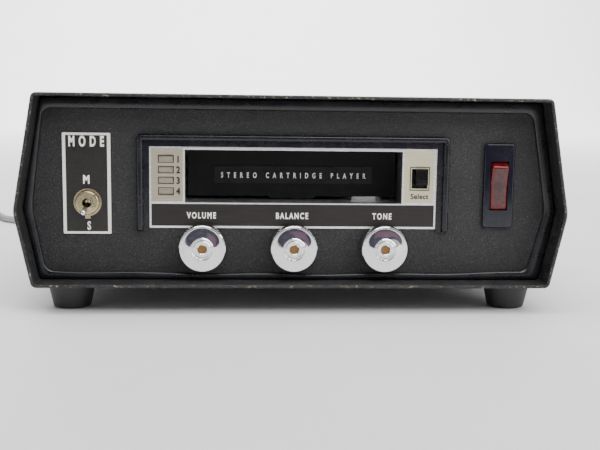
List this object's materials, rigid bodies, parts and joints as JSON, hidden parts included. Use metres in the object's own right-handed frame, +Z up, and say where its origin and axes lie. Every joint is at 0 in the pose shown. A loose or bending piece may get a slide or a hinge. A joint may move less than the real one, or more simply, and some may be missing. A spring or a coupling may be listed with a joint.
{
  "type": "cartridge player amplifier",
  "caption": "Table-top tape cartridge player with stereo amplifier: six-sided case on rubber feet, slot with swing-in door, knobs, toggle, lit rocker and mains lead.",
  "frame": {"origin": "on the table under the middle of the player, its lead left out", "axes": "+X to the right as the listener faces the front, +Y to the back, +Z up; the front faces -Y"},
  "size_m": [0.4512, 0.3782, 0.1037],
  "materials": {
    "case_covering": "grained black covering, worn to tan at the edges",
    "panel_paint": "fine granular charcoal paint",
    "edging_rubber": "satin",
    "foot_rubber": "matt",
    "zinc_steel": "passivated",
    "black_plastic": "satin",
    "gloss_black": "gloss",
    "silver_face": "brushed, with champagne and dark printed fields",
    "label_print": "anodised dark with a pale frame",
    "nickel": "worn nickel plate",
    "chrome_knob": "polished",
    "brass_shaft": "turned",
    "red_lens": "translucent red",
    "clear_lens": "translucent pale",
    "lamp_glass": "clear",
    "board_laminate": "paper laminate",
    "can_aluminium": "satin",
    "sink_black": "black anodised",
    "core_steel": "varnished laminations",
    "copper_winding": "enamelled copper under tape",
    "belt_rubber": "matt",
    "cord_grey": "smooth grey sheath"
  },
  "bodies": {
    "case": {"amplifier_board": "board_laminate", "capstan_bearing": "brass_shaft", "cartridge_guide": "zinc_steel", "case_sleeve": "case_covering", "chassis_tray": "zinc_steel", "control_pots": "zinc_steel", "cord_coil": "cord_grey", "cord_grommet": "cord_grey", "door_pin": "zinc_steel", "drive_belt": "belt_rubber", "drive_motor": "can_aluminium", "escutcheon": "silver_face", "filter_capacitors": "can_aluminium", "foot_front_left": "foot_rubber", "foot_front_right": "foot_rubber", "foot_rear_left": "foot_rubber", "foot_rear_right": "foot_rubber", "foot_screws": "zinc_steel", "front_panel": "panel_paint", "fuse_holder": "black_plastic", "heat_sink": "sink_black", "mains_cord": "cord_grey", "mains_plug": "cord_grey", "mode_plate": "label_print", "panel_edging": "edging_rubber", "player_bezel": "black_plastic", "pot_nuts": "nickel", "power_transistors": "nickel", "rear_panel": "panel_paint", "rear_screws": "nickel", "rocker_housing": "gloss_black", "rocker_lamp": "lamp_glass", "select_switch": "black_plastic", "solenoid_body": "copper_winding", "speaker_sockets": "black_plastic", "toggle_body": "nickel", "toggle_nut": "nickel", "toggle_washer": "nickel", "track_lamps": "lamp_glass", "track_lenses": "clear_lens", "transformer_core": "core_steel", "transformer_winding": "copper_winding", "transport_plate": "zinc_steel"},
    "volume": {"volume_knob": "chrome_knob", "volume_shaft": "brass_shaft"},
    "balance": {"balance_knob": "chrome_knob", "balance_shaft": "brass_shaft"},
    "tone": {"tone_knob": "chrome_knob", "tone_shaft": "brass_shaft"},
    "toggle": {"toggle_lever": "nickel"},
    "rocker": {"rocker_button": "red_lens"},
    "select": {"select_button": "black_plastic"},
    "door": {"cartridge_door": "black_plastic", "door_strip": "gloss_black"},
    "capstan": {"flywheel": "core_steel"},
    "pulley": {"motor_pulley": "brass_shaft"},
    "cam": {"track_cam": "black_plastic"},
    "head": {"head_carriage": "zinc_steel", "tape_head": "chrome_knob"},
    "plunger": {"solenoid_plunger": "zinc_steel"}
  },
  "joints": [
    {"name": "volume_turn", "type": "hinge", "parent": "case", "child": "volume", "pos_m": [-0.0439, -0.1, 0.0306], "axis": [0, 1, 0], "range_deg": [0, 280]},
    {"name": "balance_turn", "type": "hinge", "parent": "case", "child": "balance", "pos_m": [0, -0.1, 0.0306], "axis": [0, 1, 0], "range_deg": [-140, 140]},
    {"name": "tone_turn", "type": "hinge", "parent": "case", "child": "tone", "pos_m": [0.0439, -0.1, 0.0306], "axis": [0, 1, 0], "range_deg": [-140, 140]},
    {"name": "toggle_tilt", "type": "hinge", "parent": "case", "child": "toggle", "pos_m": [-0.0984, -0.095, 0.052], "axis": [-1, 0, 0], "range_deg": [0, 26]},
    {"name": "rocker_tilt", "type": "hinge", "parent": "case", "child": "rocker", "pos_m": [0.0999, -0.0914, 0.0613], "axis": [-1, 0, 0], "range_deg": [0, 14]},
    {"name": "select_press", "type": "slide", "parent": "case", "child": "select", "axis": [0, 0, -1], "range_m": [0, 0.0017], "stiffness_N_per_m": 300},
    {"name": "door_swing", "type": "hinge", "parent": "case", "child": "door", "pos_m": [0, -0.0743, 0.0789], "axis": [1, 0, 0], "range_deg": [0, 85], "stiffness_Nm_per_rad": 0.004, "springref_deg": -17.19},
    {"name": "capstan_spin", "type": "hinge", "parent": "case", "child": "capstan", "pos_m": [0.038, 0.004, 0.04], "axis": [0, 0, 1], "continuous": true},
    {"name": "pulley_spin", "type": "hinge", "parent": "case", "child": "pulley", "pos_m": [0.088, 0.012, 0.04], "axis": [0, 0, 1], "continuous": true},
    {"name": "cam_turn", "type": "hinge", "parent": "case", "child": "cam", "pos_m": [-0.03, 0.006, 0.06585], "axis": [0, -1, 0], "range_deg": [0, 270]},
    {"name": "head_lift", "type": "slide", "parent": "case", "child": "head", "axis": [0, 0, 1], "range_m": [0, 0.0024]},
    {"name": "plunger_pull", "type": "slide", "parent": "case", "child": "plunger", "axis": [-1, 0, 0], "range_m": [0, 0.004], "stiffness_N_per_m": 150}
  ],
  "couplings": [
    {"joint": "pulley_spin", "follows": "capstan_spin", "ratio": 6},
    {"joint": "cam_turn", "follows": "head_lift", "rad_per_m": 1963.5}
  ]
}
